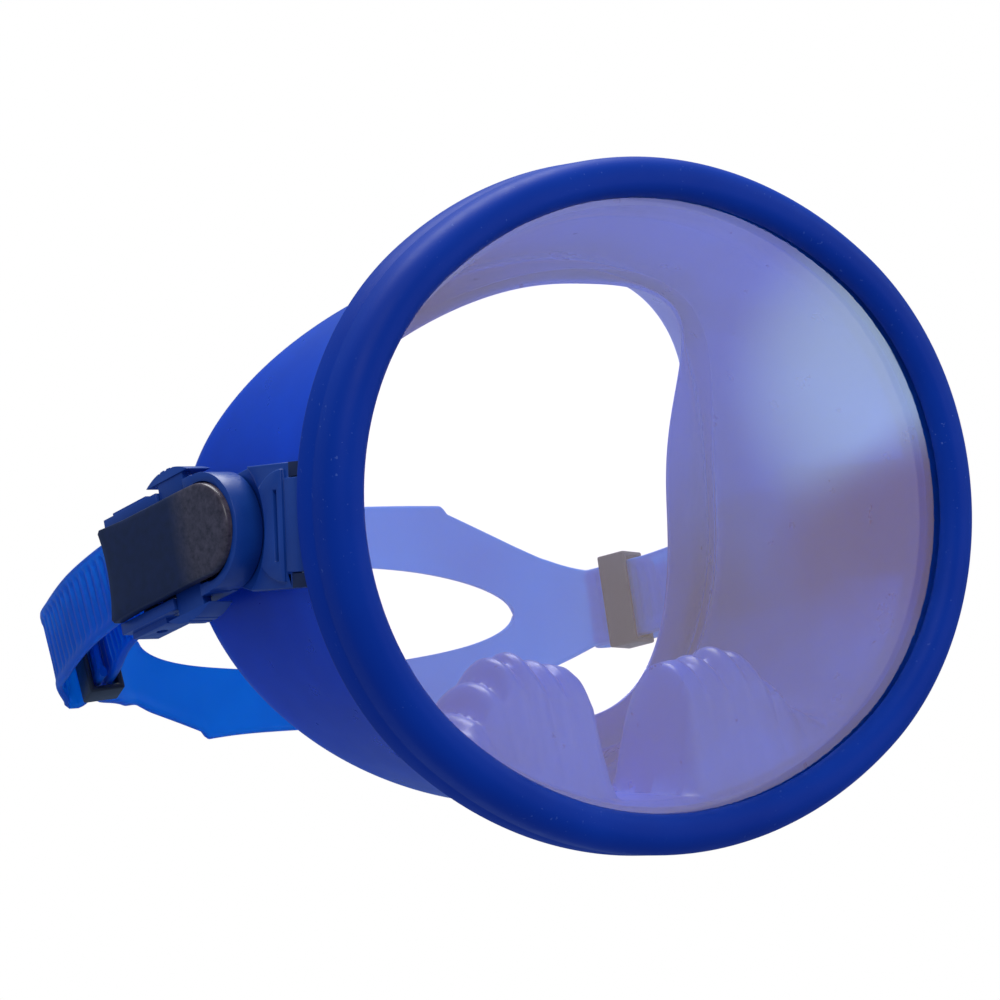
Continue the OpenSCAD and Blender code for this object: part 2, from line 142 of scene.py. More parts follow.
def add_caps(faces, count, rings):
    """Closes a loft of rings with count points each at both of its ends."""
    faces.append(list(range(count - 1, -1, -1)))
    faces.append(list(range((rings - 1) * count, rings * count)))


def moulded(node, material, width=0.35, segments=2):
    """Copy of a CAD node with its flat faces made whole and its edges rounded, which stands for it."""
    weld, flat_angle, edge_angle = 2e-6, 1.5, 38
    source = frame["nodes"][node]
    piece = bpy.data.objects.new(node + "_moulded", source.data.copy())
    bpy.context.scene.collection.objects.link(piece)
    work = bmesh.new()
    work.from_mesh(piece.data)
    bmesh.ops.remove_doubles(work, verts=work.verts, dist=weld)
    bmesh.ops.dissolve_limit(work, angle_limit=math.radians(flat_angle), verts=work.verts,
                             edges=work.edges)
    work.to_mesh(piece.data)
    work.free()
    bevel = piece.modifiers.new("edges", "BEVEL")
    bevel.width = width * MM
    bevel.segments = segments
    bevel.limit_method = "ANGLE"
    bevel.angle_limit = math.radians(edge_angle)
    bevel.use_clamp_overlap = True
    graph = bpy.context.evaluated_depsgraph_get()
    piece.data = bpy.data.meshes.new_from_object(piece.evaluated_get(graph))
    piece.modifiers.clear()
    return finish_piece(piece, material, source["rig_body"], [node], 35)


# ---- Materials ----


class Shader:
    """A Principled material with a few helpers for its procedural inputs."""

    def __init__(self, name):
        self.material = bpy.data.materials.new(name)
        self.material.use_nodes = True
        self.nodes = self.material.node_tree.nodes
        self.links = self.material.node_tree.links
        self.shader = self.nodes["Principled BSDF"]
        self.place = self.nodes.new("ShaderNodeTexCoord").outputs["Object"]

    def set(self, **values):
        """Sets inputs that are the same all over the surface."""
        for key, value in values.items():
            self.shader.inputs[key.replace("_", " ")].default_value = value

    def noise(self, scale, detail=4.0, roughness=0.55, stretch=None):
        texture = self.nodes.new("ShaderNodeTexNoise")
        texture.inputs["Scale"].default_value = scale
        texture.inputs["Detail"].default_value = detail
        texture.inputs["Roughness"].default_value = roughness
        place = self.place
        if stretch:
            mapping = self.nodes.new("ShaderNodeMapping")
            mapping.inputs["Scale"].default_value = stretch
            self.links.new(place, mapping.inputs["Vector"])
            place = mapping.outputs["Vector"]
        self.links.new(place, texture.inputs["Vector"])
        return texture.outputs["Fac"]

    def ramp(self, value, stops):
        """Colour ramp over a value, from (position, colour) stops."""
        ramp = self.nodes.new("ShaderNodeValToRGB")
        elements = ramp.color_ramp.elements
        while len(elements) < len(stops):
            elements.new(0.5)
        for element, (at, colour) in zip(elements, stops):
            element.position = at
            element.color = (*colour, 1)
        self.links.new(value, ramp.inputs["Fac"])
        return ramp.outputs["Color"]

    def span(self, value, low, high):
        """Maps a value from 0..1 to low..high."""
        span = self.nodes.new("ShaderNodeMapRange")
        span.inputs["To Min"].default_value = low
        span.inputs["To Max"].default_value = high
        self.links.new(value, span.inputs["Value"])
        return span.outputs["Result"]

    def blend(self, factor, a, b):
        """Mixes two colours, each a tuple or another node's output."""
        node = self.nodes.new("ShaderNodeMix")
        node.data_type = "RGBA"
        self.links.new(factor, node.inputs["Factor"])
        for name, value in (("A", a), ("B", b)):
            socket = [s for s in node.inputs if s.name == name and s.type == "RGBA"][0]
            if isinstance(value, tuple):
                socket.default_value = (*value, 1)
            else:
                self.links.new(value, socket)
        return node.outputs["Result"]

    def feed(self, socket, value):
        self.links.new(value, self.shader.inputs[socket])

    def bump(self, height, strength, distance):
        """Adds a bump, with its distance in mm, on top of those before it."""
        bump = self.nodes.new("ShaderNodeBump")
        bump.inputs["Strength"].default_value = strength
        bump.inputs["Distance"].default_value = distance * MM
        self.links.new(height, bump.inputs["Height"])
        before = self.shader.inputs["Normal"].links
        if before:
            self.links.new(before[0].from_socket, bump.inputs["Normal"])
        self.links.new(bump.outputs["Normal"], self.shader.inputs["Normal"])


def silicone(name, deep, bright, transmission, roughness):
    """Translucent silicone: cloudy colour, a faintly uneven gloss and a skin of fine ripples."""
    made = Shader(name)
    cloud = made.noise(22, 3)
    made.feed("Base Color", made.ramp(cloud, [(0.3, deep), (0.7, bright)]))
    made.feed("Roughness", made.span(made.noise(140, 5), roughness - 0.06, roughness + 0.1))
    made.set(IOR=1.41, Transmission_Weight=transmission, Specular_IOR_Level=0.28)
    made.bump(made.noise(60, 2), 0.12, 0.2)
    made.bump(made.noise(1800, 3), 0.12, 0.04)
    return made.material


def rim_rubber():
    """Matte rubber: royal blue, with pale dust specks and a fine grain."""
    made = Shader("rim_rubber_matte")
    deep, bright, dusty = (0.0008, 0.036, 0.33), (0.0015, 0.055, 0.44), (0.16, 0.26, 0.62)
    body = made.ramp(made.noise(16, 3), [(0.3, deep), (0.7, bright)])
    dust = made.ramp(made.noise(1100, 2, 0.4), [(0.70, (0, 0, 0)), (0.76, (1, 1, 1))])
    patches = made.ramp(made.noise(45, 3), [(0.42, (0, 0, 0)), (0.68, (0.6, 0.6, 0.6))])
    masked = made.nodes.new("ShaderNodeMath")
    masked.operation = "MULTIPLY"
    made.links.new(dust, masked.inputs[0])
    made.links.new(patches, masked.inputs[1])
    made.feed("Base Color", made.blend(masked.outputs[0], body, dusty))
    made.feed("Roughness", made.span(made.noise(240, 4), 0.44, 0.62))
    made.set(Specular_IOR_Level=0.16, IOR=1.5)
    made.bump(made.noise(2600, 3), 0.22, 0.05)
    made.bump(made.noise(30, 2), 0.12, 0.3)
    return made.material


def plastic(name, dark, light, roughness, grain=0.15):
    """Moulded plastic: slight flow marks, a spark-eroded grain and worn gloss."""
    made = Shader(name)
    flow = made.noise(60, 4, 0.5, (1, 0.35, 1))
    made.feed("Base Color", made.ramp(flow, [(0.3, dark), (0.72, light)]))
    made.feed("Roughness", made.span(made.noise(320, 5), roughness - 0.08, roughness + 0.1))
    made.set(IOR=1.5, Specular_IOR_Level=0.5)
    made.bump(made.noise(2200, 3), grain, 0.05)
    return made.material


def cover_plastic(name, tilt, start):
    """Cover: glossy before its crease at start, with a lighter brown painted sheen in its colour
    there; blue-black and satin behind it.
    """
    made = Shader(name)
    fade_before, fade_behind = 2.5 * MM, 3.5 * MM
    along = made.nodes.new("ShaderNodeVectorMath")
    along.operation = "DOT_PRODUCT"
    along.inputs[1].default_value = (0, math.cos(tilt), -math.sin(tilt))
    made.links.new(made.place, along.inputs[0])
    split = made.nodes.new("ShaderNodeMapRange")
    split.inputs["From Min"].default_value = start - fade_before
    split.inputs["From Max"].default_value = start + fade_behind
    made.links.new(along.outputs["Value"], split.inputs["Value"])
    speckle = made.noise(700, 5, 0.7)
    # Painted sheen: before the crease the base colour is a lighter brown for the light that the
    # sloping facet catches; the lower roughness there is real gloss.
    gloss = made.ramp(speckle, [(0.35, (0.045, 0.03, 0.034)), (0.75, (0.14, 0.1, 0.11))])
    satin = made.ramp(made.noise(420, 5),
                      [(0.35, (0.003, 0.008, 0.04)), (0.75, (0.007, 0.014, 0.07))])
    made.feed("Base Color", made.blend(split.outputs["Result"], gloss, satin))
    made.feed("Roughness", made.span(split.outputs["Result"], 0.3, 0.46))
    made.set(IOR=1.5, Specular_IOR_Level=0.5)
    made.bump(speckle, 0.12, 0.06)
    return made.material


def steel(name):
    """Drawn steel: brushed along its length, with slight stains."""
    made = Shader(name)
    brush = made.noise(900, 4, 0.6, (1, 1, 0.06))
    made.feed("Base Color", made.ramp(brush, [(0.3, (0.42, 0.43, 0.46)), (0.7, (0.66, 0.67, 0.7))]))
    made.feed("Roughness", made.span(brush, 0.2, 0.4))
    made.set(Metallic=1.0)
    made.bump(brush, 0.08, 0.03)
    return made.material


def glass():
    """Tempered glass: clear, with a faint violet tint."""
    made = Shader("lens_glass_violet")
    film = made.noise(9, 2)
    made.feed("Base Color", made.ramp(film, [(0.3, (0.95, 0.95, 1.0)), (0.7, (0.98, 0.97, 1.0))]))
    made.set(IOR=1.5, Transmission_Weight=1.0, Roughness=0.0)
    return made.material


GLASS = glass()
RUBBER = rim_rubber()
SKIRT = silicone("skirt_silicone_blue", (0.0003, 0.062, 0.6), (0.0008, 0.11, 0.88), 0.35, 0.28)
STRAP = silicone("strap_silicone_blue", (0.001, 0.17, 0.78), (0.003, 0.26, 0.95), 0.5, 0.3)
BUCKLE = plastic("buckle_plastic_navy", (0.006, 0.05, 0.27), (0.013, 0.085, 0.4), 0.36)
FRAME = plastic("frame_plastic_dark", (0.006, 0.012, 0.05), (0.012, 0.025, 0.1), 0.45)
PAWL = plastic("pawl_plastic_dark", (0.008, 0.014, 0.06), (0.014, 0.026, 0.11), 0.4)
ROLLER = plastic("roller_plastic_black", (0.02, 0.02, 0.026), (0.045, 0.045, 0.055), 0.42)
KEEPER = plastic("keeper_rubber_black", (0.012, 0.012, 0.018), (0.028, 0.027, 0.036), 0.42, 0.25)
STEEL = steel("steel_drawn")


# ---- Lens, rim and frame ----

RIM_HALF_W = node_span("rim", 0)[1]
RIM_HALF_H = node_span("rim", 2)[1]
RIM_FRONT, RIM_BACK = node_span("rim", 1)
LENS_T = node_span("lens", 1)[1]
RIM_W = 8.3
# How far inside the rim's outline these lie: the pane's edge, the skirt's wall, and the skirt's seat
LENS_INSET = RIM_HALF_W - node_span("lens", 0)[1]
WALL_INSET = 8.6
POCKET_INSET = 3.3

# The oval is four tangent arcs, whose centres and joints lie on 3-4-5 triangles
ARC_UNIT = (RIM_HALF_W - RIM_HALF_H) / 2
SIDE_C, TOP_C = 3 * ARC_UNIT, 4 * ARC_UNIT
SIDE_R, TOP_R = RIM_HALF_W - SIDE_C, RIM_HALF_H + TOP_C


def oval(inset, angles):
    """X and Z on the rim's oval, moved inwards by inset, where the outward normal has each angle."""
    c, s = np.cos(angles), np.sin(angles)
    side = np.abs(c) > 0.6
    x = np.where(side, np.sign(c) * SIDE_C + (SIDE_R - inset) * c, (TOP_R - inset) * c)
    z = np.where(side, (SIDE_R - inset) * s, -np.sign(s) * TOP_C + (TOP_R - inset) * s)
    return x, z


def oval_ring(inset, y, angles):
    """Points round the oval at one depth."""
    x, z = oval(inset, angles)
    return np.column_stack([x, np.full_like(x, y), z])


def arc(centre, radius, a0, a1, steps):
    """Points of a round corner in the (inset, y) plane, in degrees."""
    turns = [math.radians(mix(a0, a1, i / steps)) for i in range(steps + 1)]
    return [(centre[0] + radius * math.cos(a), centre[1] + radius * math.sin(a)) for a in turns]


def build_rim():
    """Soft tube of rubber with a moulding crease round its outer side."""
    angles = np.linspace(0, 2 * math.pi, 320, endpoint=False)
    outer, inner, rear = 4.4, 3.2, 1.6
    section = arc((outer, outer + RIM_FRONT), outer, 180, 270, 14)
    section += arc((RIM_W - inner, inner + RIM_FRONT), inner, 270, 360, 12)
    section += [(RIM_W, -0.2), (RIM_W - 0.15, 0), (LENS_INSET, 0), (LENS_INSET, LENS_T)]
    section += [(POCKET_INSET, LENS_T), (POCKET_INSET, RIM_BACK)]
    section += arc((rear, RIM_BACK - rear), rear, 90, 180, 6)
    crease_y, crease_d, crease_top, crease_foot = 4.4, 0.22, 0.9, 0.3
    section += [(0, crease_y + crease_top), (crease_d, crease_y + crease_foot),
                (crease_d, crease_y - crease_foot), (0, crease_y - crease_top)]
    verts, faces = loft([oval_ring(u, y, angles) for u, y in section], True)
    mesh_piece("rim_cover", verts, faces, RUBBER, "mask", ["rim"], 50)


def build_lens():
    """Pane with ground, chamfered edges."""
    angles = np.linspace(0, 2 * math.pi, 240, endpoint=False)
    chamfer = 0.4
    section = [(LENS_INSET + chamfer, 0), (LENS_INSET, chamfer), (LENS_INSET, LENS_T - chamfer),
               (LENS_INSET + chamfer, LENS_T)]
    verts, faces = loft([oval_ring(u, y, angles) for u, y in section], False)
    add_caps(faces, len(angles), len(section))
    mesh_piece("lens_pane", verts, faces, GLASS, "mask", ["lens"], 25)


# ---- Skirt ----

DEPTH_SIDE = node_span("skirt", 1)[1]
DEPTH_TOP, DEPTH_BOTTOM = 34, 53
SKIRT_HALF_W, SKIRT_UP, SKIRT_DOWN = 70.5, 55, 59
SKIRT_T = 2.4
# How far the seal's inner edge lies before the wall's rear edge, at the top, the bottom and the sides
SEAL_SET_TOP, SEAL_SET_BOTTOM, SEAL_SET_SIDE = 11, 12, 10
SEAL_HALF_W, SEAL_HALF_H, SEAL_MID_Z = 49, 45, 2
# Finger wells: height, middle and half length in Y, then where in X they start to rise and to fade
WELL_H, WELL_Y, WELL_HALF = 26, 20.3, 12.25
WELL_IN, WELL_OUT = 11.7, 24
WELL_RISE, WELL_FADE = 3.5, 24
FRAME_FRONT = 6.5
SEAT_GAP = 0.05


def skirt_angles():
    """Angles round the mask, closer together at the finger wells below."""
    return np.radians(np.concatenate([np.arange(-45, 225, 1.6), np.arange(225, 315, 0.5)]))


def rear_edge(a):
    """X, Y, Z of the wall's rear edge."""
    c, s = np.abs(np.cos(a)), np.sin(a)
    y = np.where(s > 0, mix(DEPTH_TOP, DEPTH_SIDE, c**2), mix(DEPTH_BOTTOM, DEPTH_SIDE, c**1.4))
    return SKIRT_HALF_W * np.cos(a), y, np.where(s > 0, SKIRT_UP, SKIRT_DOWN) * s


def seal_edge(a):
    """X, Y, Z of the seal's inner edge."""
    c, s = np.cos(a), np.sin(a)
    side = DEPTH_SIDE - SEAL_SET_SIDE
    up = mix(DEPTH_TOP - SEAL_SET_TOP, side, np.abs(c) ** 2.6)
    down = mix(DEPTH_BOTTOM - SEAL_SET_BOTTOM, side, np.abs(c))
    x = SEAL_HALF_W * np.sign(c) * np.abs(c) ** 0.8
    return x, np.where(s > 0, up, down), SEAL_MID_Z + SEAL_HALF_H * np.sign(s) * np.abs(s) ** 0.8


def well_lift(x, y, a, grow):
    """How far a finger well lifts the floor, with bellows ribs across its top."""
    ax = np.abs(x)
    s = (y - WELL_Y) / (WELL_HALF + grow)
    arch = np.sqrt(np.clip(1 - s * s, 0, 1))
    rise = smooth((ax - WELL_IN + grow) / WELL_RISE)
    across = rise * (1 - smooth((ax - WELL_OUT - grow) / WELL_FADE))
    rib_pitch, rib_h, first_rib, ribs_from, ribs_to = 5.6, 2.4, 17.5, 16.5, 42
    ribs = np.abs(np.sin(math.pi * (ax - first_rib) / rib_pitch)) - 1
    ribbed = smooth((ax - ribs_from) / 2) * (1 - smooth((ax - ribs_to) / 6))
    lift = (WELL_H * across + rib_h * ribs * ribbed) * arch
    return np.where(np.sin(a) > -0.4, 0, np.maximum(lift, 0))


def wall_ring(a, v, t):
    """Ring of the wall at v from its front (0) to its rear (1), t inside its outer face."""
    rear_lip, well_grow = 4, 2.2
    front_x, front_z = oval(WALL_INSET + t, a)
    rear_x, rear_y, rear_z = rear_edge(a)
    shrink = 1 - t / SKIRT_HALF_W
    w = v**0.85
    y = mix(RIM_BACK + 0.2, rear_y - rear_lip, v)
    x = mix(front_x, rear_x * shrink, w)
    z = mix(front_z, rear_z * shrink, w)
    return np.column_stack([x, y, z + well_lift(x, y, a, well_grow if t else 0)])


def edge_ring(edge, a, k, y_add):
    """Ring along an edge, scaled by k in X and Z and moved in Y."""
    x, y, z = edge(a)
    return np.column_stack([x * k, y + y_add, z * k])


def between(ring_a, ring_b, t, y_add=0):
    """Ring a part of the way from one to another, moved in Y."""
    ring = mix(ring_a, ring_b, t)
    ring[:, 1] += y_add
    return ring


def spline_rings(rings, n):
    """Smooth rings through the given ones, with n steps from each to the next."""
    out = []
    for i in range(len(rings) - 1):
        p0, p1 = rings[max(0, i - 1)], rings[i]
        p2, p3 = rings[i + 1], rings[min(len(rings) - 1, i + 2)]
        for k in range(n):
            t = k / n
            out.append(0.5 * (2 * p1 + (p2 - p0) * t + (2 * p0 - 5 * p1 + 4 * p2 - p3) * t * t
                              + (3 * p1 - p0 - 3 * p2 + p3) * t**3))
    out.append(rings[-1])
    return out


def build_skirt():
    """Shell from the lens seat to the seal, which is a double feathered lip."""
    a = skirt_angles()
    steps = 44
    in_pocket, before_frame = POCKET_INSET + 0.1, FRAME_FRONT - SEAT_GAP
    behind_lens = LENS_T + SEAT_GAP
    seat = [oval_ring(in_pocket, behind_lens, a), oval_ring(in_pocket, before_frame, a),
            oval_ring(WALL_INSET, before_frame, a)]
    outer = [wall_ring(a, i / steps, 0) for i in range(steps + 1)]
    inner = [wall_ring(a, i / steps, SKIRT_T) for i in range(steps, -1, -1)]
    seal_out, seal_in = edge_ring(seal_edge, a, 1.0, 0.9), edge_ring(seal_edge, a, 1.0, 0.0)
    crown = edge_ring(rear_edge, a, 0.92, -0.1)
    root = edge_ring(rear_edge, a, 0.925, -2.2)
    lip_root = between(root, inner[0], 0.55)
    lip_tip = between(root, seal_in, 0.42, -7)
    outer_lip = [outer[-1], edge_ring(rear_edge, a, 0.98, -1.4), edge_ring(rear_edge, a, 0.955, -0.3),
                 crown, between(crown, seal_out, 0.5, 0.7), seal_out,
                 edge_ring(seal_edge, a, 0.985, 0.45), seal_in, between(root, seal_in, 0.5, -0.5)]
    inner_lip = [root, between(root, lip_tip, 0.5, 0.2), lip_tip,
                 between(lip_tip, lip_root, 0.02, -0.8), between(lip_root, lip_tip, 0.45, -0.6),
                 lip_root, inner[0]]
    lip_rings = spline_rings(outer_lip + inner_lip, 4)
    tail = [oval_ring(WALL_INSET + SKIRT_T, FRAME_FRONT, a), oval_ring(WALL_INSET + 1, behind_lens, a)]
    verts, faces = loft(seat + outer[:-1] + lip_rings[:-1] + inner + tail, True)
    mesh_piece("skirt_shell", verts, faces, SKIRT, "mask", ["skirt"], 60)


# ---- Strap ----

STRAP_T = 1.6
TAIL_W, PANEL_HALF_H, EDGE_STEP = 17, 24, 1
GAP_HALF_H, GAP_HALF_W = 11, 49.5
KEEPER_YAW = math.radians(17.5)
# How far the tail lies outside the load layer, in the keeper and before it
TAIL_GAP, TAIL_LIFT = 2.5, 4.4
# Points are X outwards, Y, Z in mm and the band's slope there in degrees
KEEPERS = {"left": ((67.6, 103.4, -23.4), 20), "right": ((68.6, 101.5, -15.8), 10)}
LOADS = {
    "left": ([(73.7, 78, -12.2, 18), (72.6, 88, -16.4, 22)],
             [(58, 114.6, -24, 8), (49, 117.4, -21.4, 3)]),
    "right": ([(73.7, 78, -11, 12), (72.8, 88, -13, 12)],
              [(59, 113.4, -18, 4), (49.5, 116.6, -18.2, 1)]),
}
TAILS = {
    "left": [(82.3, 78, -12, 18), (81.2, 90, -16.3, 22), (78, 102.5, -21, 22),
             (74.6, 110.5, -23.8, 20)],
    "right": [(82.3, 78, -11, 12), (81.4, 90, -13.6, 12), (78.6, 102, -15.8, 11),
              (75.6, 110, -17.4, 10)],
}
PANEL_MID = [(25, 121, -17.6, 0), (0, 123, -17.8, 0), (-25, 121.4, -18.6, 1)]
ROLLER_R, ROLLER_GAP = 3, 0.35


def by_keeper(side, s, off):
    """Point s behind a keeper's centre and off outwards: X outwards, Y, Z, slope."""
    (x, y, z), slope = KEEPERS[side]
    back = s * math.cos(KEEPER_YAW) + off * math.sin(KEEPER_YAW)
    rad = math.radians(slope)
    return (x - s * math.sin(KEEPER_YAW) + off * math.cos(KEEPER_YAW),
            y + back * math.cos(rad), z - back * math.sin(rad), slope)


def load_points(side):
    """The layer that carries the load, from the roller through the keeper to the panel."""
    first, last = LOADS[side]
    return first + [by_keeper(side, s, 0) for s in (-8, -2.7, 2.7, 8)] + last


def tail_points(side):
    """The loose layer outside it, from the roller to the tail's end."""
    ends = [by_keeper(side, s, TAIL_LIFT if s > 8 else TAIL_GAP) for s in (11, 7.5, 2.5, -2.5, -7)]
    return TAILS[side] + ends


def tilt_of(side):
    """Slope of a buckle, from its roller's axis."""
    axis = JOINTS[side + "_roller_spin"]["axis"]
    return math.atan2(abs(axis[1]), axis[2])


def wrap_points(side):
    """Half turn round the roller, from the tail's side to the load layer's side."""
    centre = joint_point(side + "_roller_spin")
    tilt = tilt_of(side)
    radius = ROLLER_R + ROLLER_GAP + STRAP_T / 2
    steps = 8
    out = []
    for i in range(steps + 1):
        a = math.radians(90 - 180 * i / steps)
        ahead = radius * math.cos(a)
        out.append((abs(centre[0]) + radius * math.sin(a), centre[1] - ahead * math.cos(tilt),
                    centre[2] + ahead * math.sin(tilt), math.degrees(tilt)))
    return out


def mirrored(points):
    """The same points on the other side."""
    return [(-p[0], p[1], p[2], p[3]) for p in points]


def strap_line():
    """Even points and distances along the strap's middle line, from one tail's end to the other's."""
    per_key, step = 40, 0.5
    right, left = wrap_points("right"), mirrored(wrap_points("left"))
    points = tail_points("right")[::-1] + right + load_points("right") + PANEL_MID
    points += mirrored(load_points("left"))[::-1] + left[::-1] + mirrored(tail_points("left"))
    keys = [np.array([p]) for p in points]
    dense = np.vstack(spline_rings(keys, per_key))
    lengths = np.linalg.norm(np.diff(dense[:, :3], axis=0), axis=1)
    along = np.concatenate([[0], np.cumsum(lengths)])
    even = np.linspace(0, along[-1], int(along[-1] / step))
    return np.column_stack([np.interp(even, along, dense[:, k]) for k in range(4)]), even


def strap_frame(line):
    """Unit vectors across the band and out of its face, at each point of its line."""
    along = np.gradient(line[:, :3], axis=0)
    along /= np.linalg.norm(along, axis=1)[:, None]
    slope = np.radians(line[:, 3])
    upright = np.column_stack([np.zeros(len(line)), np.sin(slope), np.cos(slope)])
    out = np.cross(along, upright)
    out /= np.linalg.norm(out, axis=1)[:, None]
    return np.cross(out, along), out


def strap_faces(rows, wide, gap):
    """Quads of the band's two halves: both faces, the outer edges, the slot's edges and the ends."""

    def index(half, column, face, row):
        return ((half * wide + column) * 2 + face) * rows + row

    faces = []
    for i in range(rows - 1):
        edges = [wide - 1, 0] if gap[i] > 0 or gap[i + 1] > 0 else [wide - 1]
        for h in (0, 1):
            for j in range(wide - 1):
                for face in (0, 1):
                    faces.append((index(h, j, face, i), index(h, j + 1, face, i),
                                  index(h, j + 1, face, i + 1), index(h, j, face, i + 1)))
            for j in edges:
                faces.append((index(h, j, 0, i), index(h, j, 1, i),
                              index(h, j, 1, i + 1), index(h, j, 0, i + 1)))
    for i in (0, rows - 1):
        for h in (0, 1):
            for j in range(wide - 1):
                faces.append((index(h, j, 0, i), index(h, j + 1, 0, i),
                              index(h, j + 1, 1, i), index(h, j, 1, i)))
    return faces


def build_strap():
    """One band with thick edges, ladder grooves near the buckles and a split back panel."""
    taper_x, taper_len, step_x, step_len = 66, 34, 34, 1.5
    ladder_x, ladder_len, pitch, groove_d, groove_inset, groove_len = 66.5, 1.5, 2.7, 0.45, 2, 0.6
    bead_w, bead_len, thinning, edge_r, edge_min, far = 1.5, 0.8, 0.26, 0.8, 0.02, 99
    line, run = strap_line()
    place = line[:, :3]
    across, out = strap_frame(line)
    ax = np.abs(place[:, 0])
    half = mix(TAIL_W / 2, PANEL_HALF_H - EDGE_STEP, np.clip((taper_x - ax) / taper_len, 0, 1))
    half = half + EDGE_STEP * smooth((step_x - ax) / step_len)
    gap = GAP_HALF_H * np.sqrt(np.clip(1 - (ax / GAP_HALF_W) ** 2, 0, 1))
    ladder = smooth((ax - ladder_x) / ladder_len)
    wave = smooth((np.cos(2 * math.pi * run / pitch) - 0.1) / 0.6) * groove_d * ladder
    # Where the columns of points lie between the slot's edge (0) and the outer edge (1)
    spread = [0, 0.03, 0.08, 0.16, 0.3, 0.45, 0.6, 0.72, 0.82, 0.9, 0.95, 0.98, 1]
    columns = []
    for up in (-1, 1):
        for t in spread:
            w = mix(gap, half, t)
            edge = np.minimum(half - w, np.where(gap > 0, w - gap, far))
            bead = 1 - thinning * smooth((edge - bead_w) / bead_len)
            rounding = 1 - np.clip((half - w) / edge_r, 0, 1)
            round_off = np.sqrt(np.clip(1 - rounding ** 2, edge_min, 1))
            cut = wave * smooth((half - w - groove_inset) / groove_len)
            thick = STRAP_T / 2 * bead * round_off - cut
            middle = place + across * (up * w)[:, None]
            columns.append((middle + out * thick[:, None], middle - out * thick[:, None]))
    verts = [p for pair in columns for face in pair for p in face]
    faces = strap_faces(len(line), len(spread), gap)
    mesh_piece("head_strap", verts, faces, STRAP, "strap", ["strap"], 50)


# ---- Buckles ----


def build_cover(name):
    """Cover with a rounded edge, a facet that slopes down to its round end, and a hollow strap end."""
    sign = SIDES[name]
    pivot = joint_point("strap_swing")
    tilt = tilt_of(name)
    base = min(abs(v) for v in node_span(name + "_buckle_cover", 0))
    nose, half_w, thick, crease = 1.3, 9.3, 2.4, 3.5
    end_p, hollow_r, bow = 33.5, 32, 1.6
    flare_w, flare_p, flare_len = 0.5, 24, 10
    facet_d, facet_len, crown = 0.95, 14, 0.27
    centre, longest, halvings = 8.0, 60.0, 40

    def facet(p):
        """How far the face has come down before the crease."""
        return facet_d * np.clip((crease - p) / facet_len, 0, 1)

    def edge_at(theta):
        """Distance from the centre to the outline in one direction."""
        c, s = math.cos(theta), math.sin(theta)
        low, high = 0.0, longest
        for _ in range(halvings):
            r = (low + high) / 2
            p, q = centre + r * c, r * s
            flare = flare_w * max(0, (p - flare_p) / flare_len)
            ahead = p < -nose and math.hypot(p + nose, q) > half_w
            in_hollow = math.hypot(p - (end_p + hollow_r - bow), q) < hollow_r
            beyond = abs(q) > half_w + flare or in_hollow
            low, high = (low, r) if ahead or beyond else (r, high)
        return low

    thetas = np.linspace(0, 2 * math.pi, 200, endpoint=False)
    reach = np.array([edge_at(t) for t in thetas])
    # How far each ring lies inside the outline and below the top, from the foot over the rounded edge
    profile = [(0, thick), (0, 0.7), (0.12, 0.35), (0.35, 0.12), (0.7, 0), (2, -0.1), (5, -0.2),
               (7, -0.25)]
    rings = []
    for inset, drop in profile:
        r = np.maximum(reach - inset, 0.2)
        p, q = centre + r * np.cos(thetas), r * np.sin(thetas)
        rings.append((p, q, base + thick - drop - (facet(p) if drop < thick else 0)))
    for k in (0.7, 0.4, 0.15):
        r = (reach - profile[-1][0]) * k
        p, q = centre + r * np.cos(thetas), r * np.sin(thetas)
        rings.append((p, q, base + thick + crown - facet(p)))
    placed = []
    for p, q, x in rings:
        y = pivot[1] + p * math.cos(tilt) + q * math.sin(tilt)
        z = pivot[2] - p * math.sin(tilt) + q * math.cos(tilt)
        placed.append(np.column_stack([sign * np.broadcast_to(x, p.shape), y, z]))
    verts, faces = loft(placed, False)
    add_caps(faces, len(thetas), len(placed))
    start = ((pivot[1] + crease * math.cos(tilt)) * math.cos(tilt)
             - (pivot[2] - crease * math.sin(tilt)) * math.sin(tilt)) * MM
    material = cover_plastic(name + "_cover_plastic", tilt, start)
    mesh_piece(name + "_cover_shell", verts, faces, material, "strap", [name + "_buckle_cover"],
               30)


